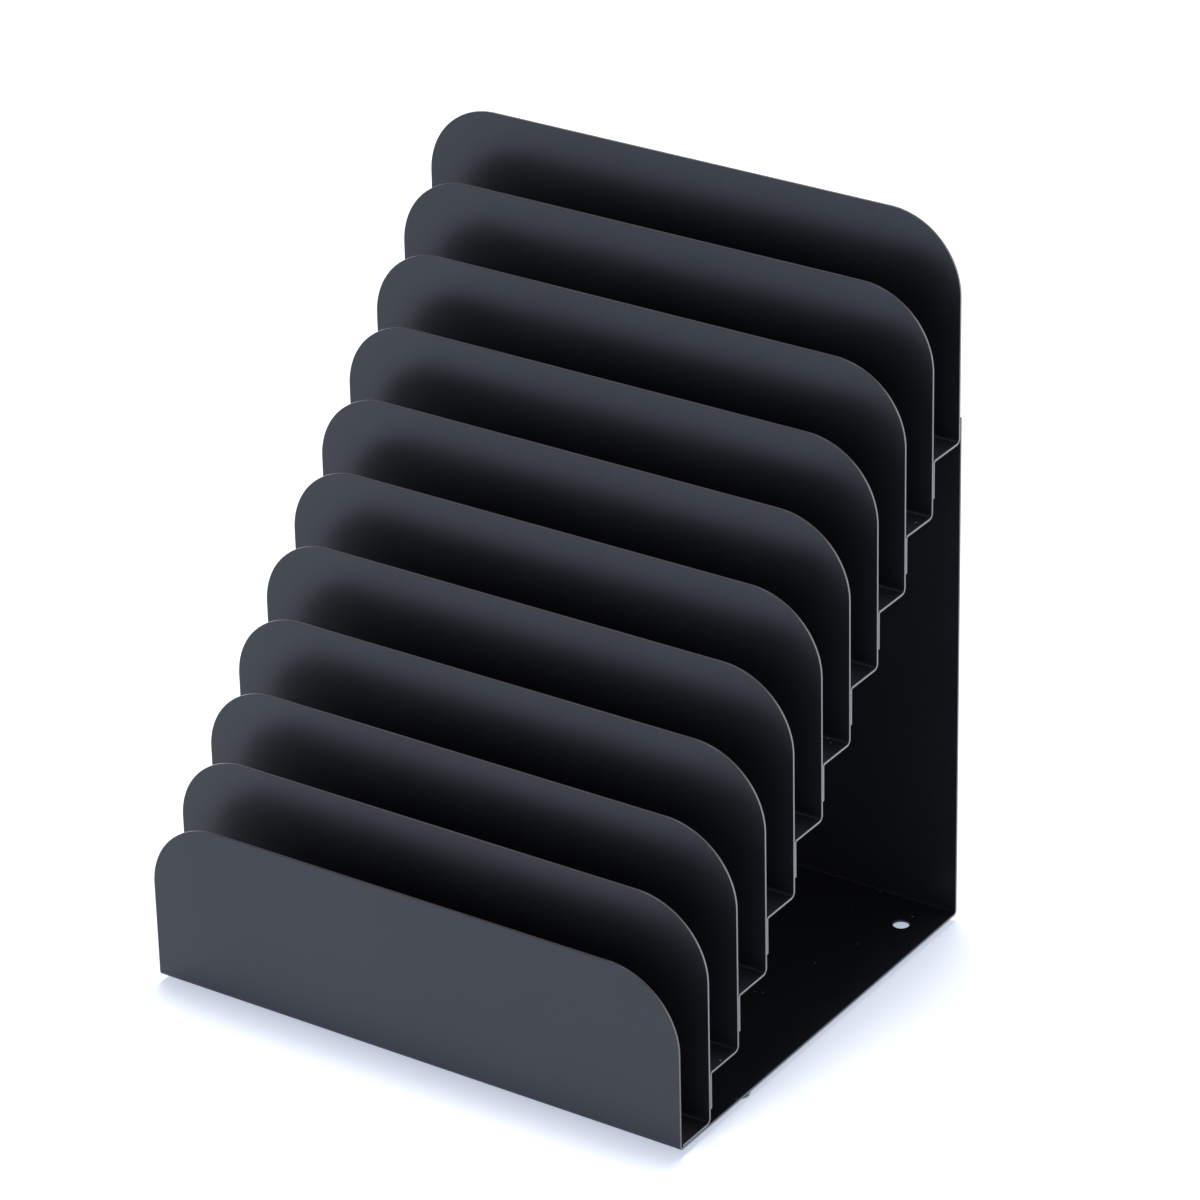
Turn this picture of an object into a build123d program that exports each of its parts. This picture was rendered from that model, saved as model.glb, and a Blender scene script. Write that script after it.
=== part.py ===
from build123d import *
import os

# Slanted file rack of bent sheet steel, in millimetres.
# X runs across the rack, the front faces -Y, Z is up, and Z = 0 is the desk under the feet.

# Sheets and slots
sheet = 1.1                  # thickness of the painted steel sheet
rack_width = 254.0           # width of every sheet
slot_count = 10              # slots from the front panel to the last upright
slot_pitch = 21.1            # from one upright to the next
front_height = 76.0          # front panel, above the underside of the base
divider_height = 95.0        # upright, above its own slot floor
first_rise = 22.2            # from the lowest slot floor to the second
step_rise = 24.3             # from each later slot floor to the next
corner_radius = 32.5         # round top corners of the uprights

# Bends, as radii on the inside of the bend
base_bend_radius = 0.9       # front and back edges of the base
floor_bend_radius = 1.6      # slot floor into its upright
lap_bend_radius = 0.4        # slot floor into its lapped flange

# Lapped flanges
lap_end_gap = 5.2            # from the end of a flange down to the lowest slot floor
back_lap_height = 10.0       # base sheet's back, above the last slot floor

# Screw holes in the base
hole_diameter = 7.0
hole_side_inset = 14.6       # hole centre from the side of the base
hole_back_inset = 19.6       # hole centre from the front face of the base sheet's back

# Bumper feet
foot_height = 3.0
foot_diameter = 10.0         # where it sticks to the base
foot_tread_diameter = 8.4    # where it stands on the desk
foot_edge_radius = 0.8
front_foot_side_inset = 5.2  # foot centre from the side of the base
front_foot_inset = 51.5      # foot centre from the front of the rack
rear_foot_side_inset = 14.6
rear_foot_inset = 42.0       # foot centre from the back of the rack

cut_overrun = 2.0            # how far a cut runs past the sheet

# Worked out from the sizes above
half_depth = (slot_count * slot_pitch + 2 * sheet) / 2
base_top = foot_height + sheet
lowest_floor = base_top + sheet
lap_height = first_rise - lap_end_gap


def upright_front(index):
    """Y of the front face of an upright: 0 is the front panel, slot_count is the last."""
    return index * slot_pitch - half_depth


def upright_rear(index):
    return upright_front(index) + sheet


def floor_top(slot):
    """Z of the top face of a slot's floor, slots counted from 1 at the front."""
    if slot == 1:
        return lowest_floor
    return lowest_floor + first_rise + (slot - 2) * step_rise


def bent_sheet(upper_face, bend_radii):
    """A sheet across the whole rack, whose upper face follows the given Y, Z points."""
    upper_line = FilletPolyline(*upper_face, radius=bend_radii)
    outline = offset(upper_line, sheet, side=Side.RIGHT)
    return extrude(make_face(Plane.YZ * outline), rack_width / 2, both=True)


def round_corners(piece, top):
    """Rounds the two corners of the upright that ends at the given height."""
    across_sheet = piece.edges().filter_by(Axis.Y)
    corners = across_sheet.filter_by_position(Axis.Z, top - sheet / 2, top + sheet / 2)
    return fillet(corners, corner_radius)


def base_sheet():
    """Front panel, base and back, bent from one sheet. The back stands behind the last upright."""
    front_top = foot_height + front_height
    back_y = upright_rear(slot_count)
    piece = bent_sheet(
        [
            (upright_rear(0), front_top),
            (upright_rear(0), base_top),
            (back_y, base_top),
            (back_y, floor_top(slot_count) + back_lap_height),
        ],
        base_bend_radius,
    )
    piece = round_corners(piece, front_top)
    hole_x = rack_width / 2 - hole_side_inset
    hole_y = back_y - hole_back_inset
    for side in (-1, 1):
        drill = Cylinder(hole_diameter / 2, sheet + 2 * cut_overrun)
        piece -= Pos(side * hole_x, hole_y, foot_height + sheet / 2) * drill
    return piece


def first_divider():
    """Upright of the lowest slot, whose floor lies on the base and ends behind the front panel."""
    top = floor_top(1) + divider_height
    piece = bent_sheet(
        [
            (upright_rear(0) + base_bend_radius, floor_top(1)),
            (upright_front(1), floor_top(1)),
            (upright_front(1), top),
        ],
        floor_bend_radius,
    )
    return round_corners(piece, top)


def divider(slot):
    """Upright behind a slot, with that slot's floor and its flange lapped on the upright in front."""
    floor = floor_top(slot)
    top = floor + divider_height
    piece = bent_sheet(
        [
            (upright_rear(slot - 1), floor - lap_height),
            (upright_rear(slot - 1), floor),
            (upright_front(slot), floor),
            (upright_front(slot), top),
        ],
        [lap_bend_radius + sheet, floor_bend_radius],
    )
    return round_corners(piece, top)


def foot(x, y):
    """Bumper foot stuck under the base."""
    bumper = Cone(
        foot_tread_diameter / 2,
        foot_diameter / 2,
        foot_height,
        align=(Align.CENTER, Align.CENTER, Align.MIN),
    )
    tread_edge = bumper.edges().filter_by(GeomType.CIRCLE).sort_by(Axis.Z)[0]
    return Pos(x, y, 0) * fillet(tread_edge, foot_edge_radius)


pieces = {"base_sheet": base_sheet(), "divider_1": first_divider()}
for slot in range(2, slot_count + 1):
    pieces[f"divider_{slot}"] = divider(slot)

front_foot_x = rack_width / 2 - front_foot_side_inset
rear_foot_x = rack_width / 2 - rear_foot_side_inset
front_foot_y = front_foot_inset - half_depth
rear_foot_y = half_depth - rear_foot_inset
pieces["front_left_foot"] = foot(-front_foot_x, front_foot_y)
pieces["front_right_foot"] = foot(front_foot_x, front_foot_y)
pieces["rear_left_foot"] = foot(-rear_foot_x, rear_foot_y)
pieces["rear_right_foot"] = foot(rear_foot_x, rear_foot_y)

os.makedirs("parts", exist_ok=True)
for name, piece in pieces.items():
    export_step(piece, f"parts/{name}.step")
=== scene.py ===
import math

import bmesh
import bpy
from mathutils import Matrix, Vector


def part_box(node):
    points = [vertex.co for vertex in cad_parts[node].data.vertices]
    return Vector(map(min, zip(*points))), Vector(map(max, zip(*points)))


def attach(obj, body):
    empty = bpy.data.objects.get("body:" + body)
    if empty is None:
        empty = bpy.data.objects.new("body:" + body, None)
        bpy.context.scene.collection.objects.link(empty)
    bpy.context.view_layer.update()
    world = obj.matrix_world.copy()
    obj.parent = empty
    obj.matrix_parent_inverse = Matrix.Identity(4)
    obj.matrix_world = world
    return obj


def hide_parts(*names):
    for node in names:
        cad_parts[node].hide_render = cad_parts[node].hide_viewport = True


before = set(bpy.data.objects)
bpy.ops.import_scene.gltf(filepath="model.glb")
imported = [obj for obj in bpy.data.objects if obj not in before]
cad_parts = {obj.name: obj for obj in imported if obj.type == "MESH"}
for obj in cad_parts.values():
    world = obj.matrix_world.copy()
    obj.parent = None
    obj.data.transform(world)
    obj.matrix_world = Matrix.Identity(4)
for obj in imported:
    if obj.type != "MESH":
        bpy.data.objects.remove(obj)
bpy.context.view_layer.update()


# Base sheet: one steel sheet folded up at both ends as front panel, base and back, powder coated
# black, with two screw holes punched near the back. Its cut edges carry a painted highlight,
# kept darker than on the dividers as painted shade from the shadowed floor near them.
# Rows of spot welds, shallow round dents on the sides that face away, hold the other sheets to it.
sheet_gauge = 0.0011
rack_corner_radius = 0.0325
rack_corner_segments = 32
base_bend_radius = 0.0009
bend_segments = 8
round_profile = 0.5
front_panel_top = 0.079
divider_height = 0.095
edge_ease = 0.00012
edge_ease_segments = 3
sharp_angle = math.radians(50)
smooth_angle = math.radians(40)
screw_hole_radius = 0.0035
screw_hole_inset = 0.0146
screw_hole_from_back = 0.0196
punch_depth = 4 * sheet_gauge
round_sides = 64
weld_count = 5
weld_pitch = 0.05
weld_flat_radius = 0.0018
weld_slope = 0.0007
weld_depth = 0.0002
weld_sides = 48
same_place = 0.00001


def at(value, place):
    """Tells whether a coordinate lies at the given place."""
    return abs(value - place) < same_place


def pick(piece, kind, test):
    """Selects the corners, edges or faces of the piece in edit mode whose points all pass the test."""
    bpy.ops.mesh.select_mode(type=kind)
    bpy.ops.mesh.select_all(action="DESELECT")
    shape = bmesh.from_edit_mesh(piece.data)
    for part in {"VERT": shape.verts, "EDGE": shape.edges, "FACE": shape.faces}[kind]:
        corners = [part] if kind == "VERT" else part.verts
        if all(test(corner.co) for corner in corners):
            part.select_set(True)
    bmesh.update_edit_mesh(piece.data)


def flat_sheet(name, width, front, rear, height):
    """A flat blank in edit mode, level, with its upper face at the given height."""
    bpy.ops.mesh.primitive_plane_add(size=1, enter_editmode=True)
    piece = bpy.context.object
    piece.name = name
    bpy.ops.transform.resize(value=(width, rear - front, 1), center_override=(0, 0, 0))
    bpy.ops.transform.translate(value=(0, (front + rear) / 2, height))
    return piece


def fold(piece, place, rise):
    """Carries the sheet on from the edge at the given Y, up or down by the given rise."""
    pick(piece, "EDGE", lambda point: at(point.y, place))
    bpy.ops.mesh.extrude_region_move(TRANSFORM_OT_translate={"value": (0, 0, rise)})


def round_fold(piece, place, height, radius):
    """Rounds the fold that runs across the sheet at the given Y and height."""
    pick(piece, "EDGE", lambda point: at(point.y, place) and at(point.z, height))
    bpy.ops.mesh.bevel(offset=radius, offset_type="OFFSET", segments=bend_segments,
                       profile=round_profile, affect="EDGES")


def round_top(piece, place, height):
    """Rounds the two top corners of the upright at the given Y."""
    pick(piece, "VERT", lambda point: at(point.y, place) and at(point.z, height))
    bpy.ops.mesh.bevel(offset=rack_corner_radius, offset_type="OFFSET", segments=rack_corner_segments,
                       profile=round_profile, affect="VERTICES")


def apply_modifier(piece, kind, **settings):
    """Gives the active piece a modifier with these settings and applies it."""
    modifier = piece.modifiers.new(kind.title(), kind)
    for name, value in settings.items():
        setattr(modifier, name, value)
    bpy.ops.object.modifier_apply(modifier=modifier.name)


def thicken(piece, face_finish, edge_highlight_finish):
    """Gives the folded blank its gauge downwards, with the second finish, a painted highlight, on its cut
    edges.
    """
    bpy.ops.object.mode_set(mode="OBJECT")
    piece.data.materials.append(face_finish)
    piece.data.materials.append(edge_highlight_finish)
    apply_modifier(piece, "SOLIDIFY", thickness=sheet_gauge, offset=-1, use_even_offset=True,
                   use_rim=True, material_offset_rim=1)


def cut_away(piece, tool):
    """Takes the tool's shape out of the piece. The cut has the coat of the faces."""
    bpy.context.view_layer.objects.active = piece
    apply_modifier(piece, "BOOLEAN", object=tool, operation="DIFFERENCE", solver="EXACT",
                   material_mode="INDEX")
    bpy.data.objects.remove(tool)


def ease_edges(piece):
    """Takes the sharpness off the cut edges, where the coat of the faces rounds them."""
    apply_modifier(piece, "BEVEL", width=edge_ease, segments=edge_ease_segments, limit_method="ANGLE",
                   angle_limit=sharp_angle, use_clamp_overlap=False, material=0)


def weld_row(piece, place, height, outward):
    """Dents a row of spot welds across the sheet, each a flat dish in the side that faces outward."""
    for number in range(weld_count):
        across = (number - (weld_count - 1) / 2) * weld_pitch
        bpy.ops.mesh.primitive_cone_add(
            vertices=weld_sides,
            radius1=weld_flat_radius,
            radius2=weld_flat_radius + 2 * weld_slope,
            depth=2 * weld_depth,
            location=(across, place, height),
            rotation=outward.to_track_quat("Z", "Y").to_euler(),
        )
        cut_away(piece, bpy.context.object)


def even_shading(piece):
    """Shades the bends and dents as round and the flats as flat."""
    bpy.ops.object.select_all(action="DESELECT")
    piece.select_set(True)
    bpy.ops.object.shade_smooth_by_angle(angle=smooth_angle)
    apply_modifier(piece, "WEIGHTED_NORMAL", keep_sharp=True)


coat_ior = 1.56
coat_sheen = (0.8, 0.86, 1, 1)
coat_black = (0.0076, 0.0089, 0.0124)
coat_fleck = (0.0150, 0.0170, 0.0225)
coat_gloss = (0.35, 0.41)
fleck_scale = 2600
fleck_detail = 2
fleck_range = (0.36, 0.68)
dust_scale = 110
dust_core = 0.025
dust_rim = 0.055
dust_grey = (0.28, 0.285, 0.29, 1)
patch_scale = 16
patch_detail = 4
patch_range = (0.3, 0.7)
pebble_scale = 850
pebble_detail = 2
pebble_strength = 0.12
pebble_depth = 0.0002
grain_scale = 3600
grain_detail = 1
grain_strength = 0.1
grain_depth = 0.00006
# Painted highlight on the cut edges: its gloss and how metallic it is.
edge_gloss = (0.26, 0.34)
edge_highlight_metallic = 0.75
# Painted highlight tones for the base sheet's cut edges, darkened as painted shade from the floor.
base_edge_shaded_highlight_dark = (0.14, 0.139, 0.1365)
base_edge_shaded_highlight_pale = (0.195, 0.1935, 0.19)


def coat(name, dark, pale, gloss_range):
    """Black powder coat: an even satin film with a fine pebbled skin and slight patches in its gloss.
    A few specks of dust have settled where it faces up."""
    finish = bpy.data.materials.new(name)
    finish.use_nodes = True
    nodes, links = finish.node_tree.nodes, finish.node_tree.links
    shader = nodes["Principled BSDF"]
    shader.inputs["IOR"].default_value = coat_ior
    shader.inputs["Specular Tint"].default_value = coat_sheen
    place = nodes.new("ShaderNodeTexCoord")

    def noise(scale, detail):
        texture = nodes.new("ShaderNodeTexNoise")
        texture.inputs["Scale"].default_value = scale
        texture.inputs["Detail"].default_value = detail
        links.new(place.outputs["Object"], texture.inputs["Vector"])
        return texture.outputs["Fac"]

    def bump(height, strength, depth):
        relief = nodes.new("ShaderNodeBump")
        relief.inputs["Strength"].default_value = strength
        relief.inputs["Distance"].default_value = depth
        links.new(height, relief.inputs["Height"])
        return relief

    flecks = nodes.new("ShaderNodeValToRGB")
    for element, share, tone in zip(flecks.color_ramp.elements, fleck_range, (dark, pale)):
        element.position = share
        element.color = (*tone, 1)
    links.new(noise(fleck_scale, fleck_detail), flecks.inputs["Fac"])

    dust = nodes.new("ShaderNodeTexVoronoi")
    dust.inputs["Scale"].default_value = dust_scale
    links.new(place.outputs["Object"], dust.inputs["Vector"])
    dust_share = nodes.new("ShaderNodeMapRange")
    dust_share.inputs["From Min"].default_value = dust_core
    dust_share.inputs["From Max"].default_value = dust_rim
    dust_share.inputs["To Min"].default_value = 1
    dust_share.inputs["To Max"].default_value = 0
    links.new(dust.outputs["Distance"], dust_share.inputs["Value"])
    facing = nodes.new("ShaderNodeNewGeometry")
    facing_up = nodes.new("ShaderNodeSeparateXYZ")
    links.new(facing.outputs["Normal"], facing_up.inputs["Vector"])
    settled = nodes.new("ShaderNodeMath")
    settled.operation = "MULTIPLY"
    settled.use_clamp = True
    links.new(facing_up.outputs["Z"], settled.inputs[0])
    links.new(dust_share.outputs["Result"], settled.inputs[1])
    dusted = nodes.new("ShaderNodeMixRGB")
    dusted.inputs["Color2"].default_value = dust_grey
    links.new(settled.outputs["Value"], dusted.inputs["Fac"])
    links.new(flecks.outputs["Color"], dusted.inputs["Color1"])
    links.new(dusted.outputs["Color"], shader.inputs["Base Color"])

    gloss = nodes.new("ShaderNodeMapRange")
    gloss.inputs["From Min"].default_value, gloss.inputs["From Max"].default_value = patch_range
    gloss.inputs["To Min"].default_value, gloss.inputs["To Max"].default_value = gloss_range
    links.new(noise(patch_scale, patch_detail), gloss.inputs["Value"])
    links.new(gloss.outputs["Result"], shader.inputs["Roughness"])

    pebble = bump(noise(pebble_scale, pebble_detail), pebble_strength, pebble_depth)
    grain = bump(noise(grain_scale, grain_detail), grain_strength, grain_depth)
    links.new(pebble.outputs["Normal"], grain.inputs["Normal"])
    links.new(grain.outputs["Normal"], shader.inputs["Normal"])
    return finish


def painted_edge_highlight(name, dark, pale):
    """A lighter, half-metallic finish for cut edges: a painted highlight in place of the light their
    rounding catches.
    """
    finish = coat(name, dark, pale, edge_gloss)
    finish.node_tree.nodes["Principled BSDF"].inputs["Metallic"].default_value = edge_highlight_metallic
    return finish


powder_coat = coat("black_powder_coat", coat_black, coat_fleck, coat_gloss)
# The base sheet's cut edges: a painted highlight dimmed by painted shade.
base_edge_shaded_highlight = painted_edge_highlight("painted_highlight_in_shade_on_base_edge", base_edge_shaded_highlight_dark, base_edge_shaded_highlight_pale)

base_low, base_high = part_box("base_sheet")
base_width = base_high.x - base_low.x
base_floor = base_low.z + sheet_gauge
front_fold = base_low.y + sheet_gauge
back_fold = base_high.y - sheet_gauge
rack_base = flat_sheet("rack_base", base_width, front_fold, back_fold, base_floor)
fold(rack_base, front_fold, front_panel_top - base_floor)
fold(rack_base, back_fold, base_high.z - base_floor)
round_top(rack_base, front_fold, front_panel_top)
round_fold(rack_base, front_fold, base_floor, base_bend_radius)
round_fold(rack_base, back_fold, base_floor, base_bend_radius)
thicken(rack_base, powder_coat, base_edge_shaded_highlight)
screw_hole_x = base_width / 2 - screw_hole_inset
screw_hole_y = back_fold - screw_hole_from_back
for side in (-1, 1):
    bpy.ops.mesh.primitive_cylinder_add(
        vertices=round_sides,
        radius=screw_hole_radius,
        depth=punch_depth,
        location=(side * screw_hole_x, screw_hole_y, base_low.z),
    )
    cut_away(rack_base, bpy.context.object)
ease_edges(rack_base)
first_low, first_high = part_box("divider_1")
weld_row(rack_base, (first_low.y + first_high.y) / 2, base_low.z, Vector((0, 0, -1)))
last_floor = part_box("divider_10")[1].z - divider_height
weld_row(rack_base, base_high.y, (last_floor + base_high.z) / 2, Vector((0, 1, 0)))
even_shading(rack_base)
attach(rack_base, "root")
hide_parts("base_sheet")


# First divider: the upright of the lowest slot, a steel sheet folded once. Its floor lies flat on
# the base behind the front panel and is spot welded to it. Same gauge and same coat as the base.
# Its cut edges carry a lighter, half-metallic finish that is a painted highlight, brighter than the base's.
divider_bend_radius = 0.0016
# Painted highlight tones for the dividers' cut edges.
divider_edge_highlight_dark = (0.216, 0.2145, 0.2105)
divider_edge_highlight_pale = (0.288, 0.286, 0.281)
divider_edge_highlight = painted_edge_highlight("painted_highlight_on_cut_edge", divider_edge_highlight_dark, divider_edge_highlight_pale)
first_floor = first_low.z + sheet_gauge
first_upright = first_high.y - sheet_gauge
first_width = first_high.x - first_low.x
first_divider = flat_sheet("rack_divider_1", first_width, first_low.y, first_upright, first_floor)
fold(first_divider, first_upright, divider_height)
round_top(first_divider, first_upright, first_floor + divider_height)
round_fold(first_divider, first_upright, first_floor, divider_bend_radius)
thicken(first_divider, powder_coat, divider_edge_highlight)
ease_edges(first_divider)
even_shading(first_divider)
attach(first_divider, "root")
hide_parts("divider_1")


# Stepped dividers: nine like sheets, each folded twice. A short flange hangs from the front of the
# slot floor and is spot welded to the rear of the upright in front, so that the slots climb like
# stairs, and the sheet turns up behind the floor as the next upright. The last stands on the back.
lap_bend_radius = 0.0015
divider_count = 10


def copy_piece(piece, name, shift):
    """A copy of the piece with a mesh of its own, moved by the given shift."""
    bpy.ops.object.select_all(action="DESELECT")
    piece.select_set(True)
    bpy.context.view_layer.objects.active = piece
    bpy.ops.object.duplicate(linked=False)
    twin = bpy.context.object
    twin.name = name
    bpy.ops.transform.translate(value=shift)
    bpy.ops.object.transform_apply(location=True, rotation=True, scale=True)
    return twin


step_low, step_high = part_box("divider_2")
step_floor = step_high.z - divider_height
step_upright = step_high.y - sheet_gauge
step_width = step_high.x - step_low.x
step_divider = flat_sheet("rack_divider_2", step_width, step_low.y, step_upright, step_floor)
fold(step_divider, step_low.y, step_low.z - step_floor)
fold(step_divider, step_upright, divider_height)
round_top(step_divider, step_upright, step_high.z)
round_fold(step_divider, step_low.y, step_floor, lap_bend_radius)
round_fold(step_divider, step_upright, step_floor, divider_bend_radius)
thicken(step_divider, powder_coat, divider_edge_highlight)
ease_edges(step_divider)
weld_row(step_divider, step_low.y + sheet_gauge, (step_low.z + step_floor) / 2, Vector((0, 1, 0)))
even_shading(step_divider)
stepped_dividers = [step_divider]
for number in range(3, divider_count + 1):
    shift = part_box(f"divider_{number}")[0] - step_low
    stepped_dividers.append(copy_piece(step_divider, f"rack_divider_{number}", shift))
for number, piece in enumerate(stepped_dividers, start=2):
    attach(piece, "root")
    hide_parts(f"divider_{number}")


# Bumper feet: four small round bumpers of clear soft polyurethane, moulded with a slight taper and
# stuck under the base, so that the steel does not scratch the desk or slide.
foot_tread_share = 0.84
foot_edge_radius = 0.0008
foot_edge_segments = 6
bumper_ior = 1.49
bumper_clearness = 0.85
bumper_dim = (0.66, 0.68, 0.67, 1)
bumper_bright = (0.82, 0.83, 0.81, 1)
bumper_gloss_range = (0.12, 0.3)
cloud_scale = 700
cloud_detail = 4
cloud_strength = 0.2
cloud_depth = 0.0001
clear_bumper = bpy.data.materials.new("clear_soft_bumper")
clear_bumper.use_nodes = True
bumper_nodes, bumper_links = clear_bumper.node_tree.nodes, clear_bumper.node_tree.links
bumper_shader = bumper_nodes["Principled BSDF"]
bumper_shader.inputs["IOR"].default_value = bumper_ior
bumper_shader.inputs["Transmission Weight"].default_value = bumper_clearness
bumper_place = bumper_nodes.new("ShaderNodeTexCoord")
bumper_cloud = bumper_nodes.new("ShaderNodeTexNoise")
bumper_cloud.inputs["Scale"].default_value = cloud_scale
bumper_cloud.inputs["Detail"].default_value = cloud_detail
bumper_links.new(bumper_place.outputs["Object"], bumper_cloud.inputs["Vector"])
bumper_tone = bumper_nodes.new("ShaderNodeValToRGB")
bumper_tone.color_ramp.elements[0].color = bumper_dim
bumper_tone.color_ramp.elements[1].color = bumper_bright
bumper_links.new(bumper_cloud.outputs["Fac"], bumper_tone.inputs["Fac"])
bumper_links.new(bumper_tone.outputs["Color"], bumper_shader.inputs["Base Color"])
bumper_gloss = bumper_nodes.new("ShaderNodeMapRange")
bumper_gloss.inputs["To Min"].default_value, bumper_gloss.inputs["To Max"].default_value = bumper_gloss_range
bumper_links.new(bumper_cloud.outputs["Fac"], bumper_gloss.inputs["Value"])
bumper_links.new(bumper_gloss.outputs["Result"], bumper_shader.inputs["Roughness"])
bumper_bump = bumper_nodes.new("ShaderNodeBump")
bumper_bump.inputs["Strength"].default_value = cloud_strength
bumper_bump.inputs["Distance"].default_value = cloud_depth
bumper_links.new(bumper_cloud.outputs["Fac"], bumper_bump.inputs["Height"])
bumper_links.new(bumper_bump.outputs["Normal"], bumper_shader.inputs["Normal"])

foot_low, foot_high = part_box("front_left_foot")
foot_middle = (foot_low + foot_high) / 2
foot_radius = (foot_high.x - foot_low.x) / 2
bpy.ops.mesh.primitive_cylinder_add(vertices=round_sides, radius=foot_radius,
                                    depth=foot_high.z - foot_low.z, location=foot_middle)
first_foot = bpy.context.object
first_foot.name = "bumper_front_left"
bpy.ops.object.transform_apply(location=True, rotation=True, scale=True)
bpy.ops.object.mode_set(mode="EDIT")
pick(first_foot, "FACE", lambda point: at(point.z, foot_low.z))
bpy.ops.transform.resize(value=(foot_tread_share, foot_tread_share, 1), center_override=foot_middle)
bpy.ops.mesh.bevel(offset=foot_edge_radius, segments=foot_edge_segments, profile=round_profile,
                   affect="EDGES")
bpy.ops.object.mode_set(mode="OBJECT")
bpy.ops.object.shade_smooth_by_angle(angle=smooth_angle)
first_foot.data.materials.append(clear_bumper)
feet = {"front_left_foot": first_foot}
for node in ("front_right_foot", "rear_left_foot", "rear_right_foot"):
    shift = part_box(node)[0] - foot_low
    feet[node] = copy_piece(first_foot, "bumper_" + node.removesuffix("_foot"), shift)
for node, piece in feet.items():
    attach(piece, "root")
    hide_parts(node)


# Floor: a plain white studio table top. It is lit and shadowed like any surface, and shows a little
# cool glow of its own to the lens and to glossy faces, so that it reads as a white ground.
table_size = 12
table_gap = 0.00005
table_tone = (0.85, 0.85, 0.85, 1)
table_roughness = 0.9
table_glow_tone = (0.42, 0.47, 0.57, 1)
bpy.ops.mesh.primitive_plane_add(size=table_size, location=(0, 0, -table_gap))
table_top = bpy.context.object
table_top.name = "table_top"
table_white = bpy.data.materials.new("table_white")
table_white.use_nodes = True
table_nodes, table_links = table_white.node_tree.nodes, table_white.node_tree.links
table_paint = table_nodes["Principled BSDF"]
table_paint.inputs["Base Color"].default_value = table_tone
table_paint.inputs["Roughness"].default_value = table_roughness
table_paint.inputs["Specular IOR Level"].default_value = 0
table_rays = table_nodes.new("ShaderNodeLightPath")
table_seen = table_nodes.new("ShaderNodeMath")
table_seen.operation = "MAXIMUM"
table_links.new(table_rays.outputs["Is Camera Ray"], table_seen.inputs[0])
table_links.new(table_rays.outputs["Is Glossy Ray"], table_seen.inputs[1])
table_shown = table_nodes.new("ShaderNodeMath")
table_shown.operation = "MAXIMUM"
table_links.new(table_seen.outputs["Value"], table_shown.inputs[0])
table_links.new(table_rays.outputs["Is Transmission Ray"], table_shown.inputs[1])
table_glow = table_nodes.new("ShaderNodeEmission")
table_glow.inputs["Color"].default_value = table_glow_tone
table_links.new(table_shown.outputs["Value"], table_glow.inputs["Strength"])
table_sum = table_nodes.new("ShaderNodeAddShader")
table_links.new(table_paint.outputs["BSDF"], table_sum.inputs[0])
table_links.new(table_glow.outputs["Emission"], table_sum.inputs[1])
table_links.new(table_sum.outputs["Shader"], table_nodes["Material Output"].inputs["Surface"])
table_top.data.materials.append(table_white)


# Studio: a white room whose ceiling is dim, with one soft lamp high over the rack, a little behind
# it and to its left.
room_white = (1, 1, 1, 1)
room_wall_level = 1
room_ceiling_level = 0.25
room_wall_end = 0.15
room_ceiling_start = 0.65
lamp_place = (-0.3, 0.62, 4.4)
lamp_size = 1.5
lamp_energy = 127
room = bpy.data.worlds.new("studio_room")
bpy.context.scene.world = room
room.use_nodes = True
room_nodes, room_links = room.node_tree.nodes, room.node_tree.links
room_way = room_nodes.new("ShaderNodeTexCoord")
room_height = room_nodes.new("ShaderNodeSeparateXYZ")
room_links.new(room_way.outputs["Generated"], room_height.inputs["Vector"])
room_level = room_nodes.new("ShaderNodeMapRange")
room_level.interpolation_type = "SMOOTHSTEP"
room_level.inputs["From Min"].default_value = room_wall_end
room_level.inputs["From Max"].default_value = room_ceiling_start
room_level.inputs["To Min"].default_value = room_wall_level
room_level.inputs["To Max"].default_value = room_ceiling_level
room_links.new(room_height.outputs["Z"], room_level.inputs["Value"])
room_nodes["Background"].inputs["Color"].default_value = room_white
room_links.new(room_level.outputs["Result"], room_nodes["Background"].inputs["Strength"])

bpy.ops.object.light_add(type="AREA", location=lamp_place)
key_lamp = bpy.context.object
key_lamp.name = "key_lamp"
key_lamp.data.shape = "DISK"
key_lamp.data.size = lamp_size
key_lamp.data.energy = lamp_energy
key_lamp.rotation_euler = (-key_lamp.location).to_track_quat("-Z", "Y").to_euler()


# Camera: a long lens from the right in front, looking down at the rack.
camera_place = (1.1157, -1.61795, 1.1717)
camera_turn = math.radians(34.026)
camera_dip = math.radians(27.176)
camera_roll = math.radians(-1.306)
camera_lens = 165.41
camera_sensor = 36
bpy.ops.object.camera_add(location=camera_place)
camera = bpy.context.object
camera.rotation_euler = (
    Matrix.Rotation(camera_turn, 3, "Z")
    @ Matrix.Rotation(math.pi / 2 - camera_dip, 3, "X")
    @ Matrix.Rotation(camera_roll, 3, "Z")
).to_euler()
camera.data.lens = camera_lens
camera.data.sensor_width = camera_sensor
bpy.context.scene.camera = camera
bpy.context.scene.view_settings.view_transform = "Standard"
